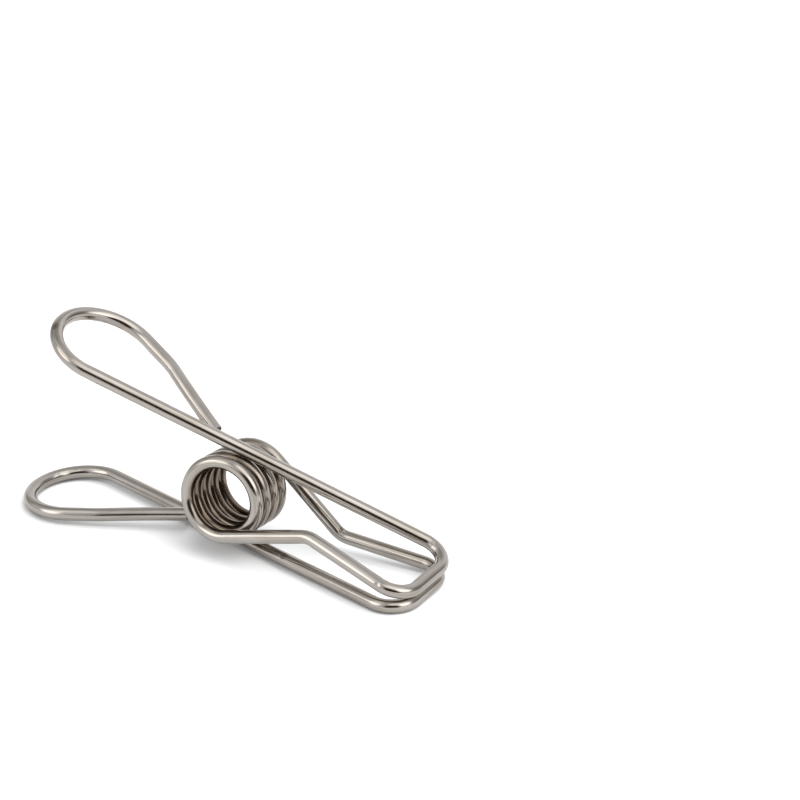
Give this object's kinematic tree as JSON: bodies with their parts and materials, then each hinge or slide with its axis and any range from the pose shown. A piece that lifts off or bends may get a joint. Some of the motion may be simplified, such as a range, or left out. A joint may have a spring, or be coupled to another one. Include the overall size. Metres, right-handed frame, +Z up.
{
  "type": "wire clothespin",
  "caption": "Spring clothespin bent from steel wire: a coil in the middle, stacked jaw bars at one end and finger loops to squeeze at the other.",
  "frame": {"origin": "centre of the bottom of the whole object's box, with the pin lying closed on its lower lever", "axes": "+X from the finger loops towards the jaws, +Y along the jaw bars towards the side where the coil runs into the lower lever, +Z up"},
  "size_m": [0.0646, 0.0156, 0.0292],
  "materials": {
    "spring_steel": "bright drawn stainless spring wire, satin along its length"
  },
  "bodies": {
    "lower_lever": {"lower_lever": "spring_steel"},
    "upper_lever": {"upper_lever": "spring_steel"},
    "coil_turn_1": {"coil_turn_1": "spring_steel"},
    "coil_turn_2": {"coil_turn_2": "spring_steel"},
    "coil_turn_3": {"coil_turn_3": "spring_steel"},
    "coil_turn_4": {"coil_turn_4": "spring_steel"},
    "coil_turn_5": {"coil_turn_5": "spring_steel"}
  },
  "joints": [
    {"name": "jaw_opening", "type": "hinge", "parent": "lower_lever", "child": "upper_lever", "pos_m": [0.0019, 0.00044, 0.00829], "axis": [0.0228, -0.9943, 0.1038], "range_deg": [0, 46]},
    {"name": "turn_1_twist", "type": "hinge", "parent": "lower_lever", "child": "coil_turn_1", "pos_m": [0.0019, 0.00044, 0.00829], "axis": [0.0228, -0.9943, 0.1038], "range_deg": [0, 41.3]},
    {"name": "turn_2_twist", "type": "hinge", "parent": "lower_lever", "child": "coil_turn_2", "pos_m": [0.0019, 0.00044, 0.00829], "axis": [0.0228, -0.9943, 0.1038], "range_deg": [0, 31.4]},
    {"name": "turn_3_twist", "type": "hinge", "parent": "lower_lever", "child": "coil_turn_3", "pos_m": [0.0019, 0.00044, 0.00829], "axis": [0.0228, -0.9943, 0.1038], "range_deg": [0, 21.5]},
    {"name": "turn_4_twist", "type": "hinge", "parent": "lower_lever", "child": "coil_turn_4", "pos_m": [0.0019, 0.00044, 0.00829], "axis": [0.0228, -0.9943, 0.1038], "range_deg": [0, 11.6]},
    {"name": "turn_5_twist", "type": "hinge", "parent": "lower_lever", "child": "coil_turn_5", "pos_m": [0.0019, 0.00044, 0.00829], "axis": [0.0228, -0.9943, 0.1038], "range_deg": [0, 3.4]}
  ],
  "couplings": [
    {"joint": "turn_1_twist", "follows": "jaw_opening", "ratio": 0.8927},
    {"joint": "turn_2_twist", "follows": "jaw_opening", "ratio": 0.678},
    {"joint": "turn_3_twist", "follows": "jaw_opening", "ratio": 0.4633},
    {"joint": "turn_4_twist", "follows": "jaw_opening", "ratio": 0.2486},
    {"joint": "turn_5_twist", "follows": "jaw_opening", "ratio": 0.0706}
  ]
}
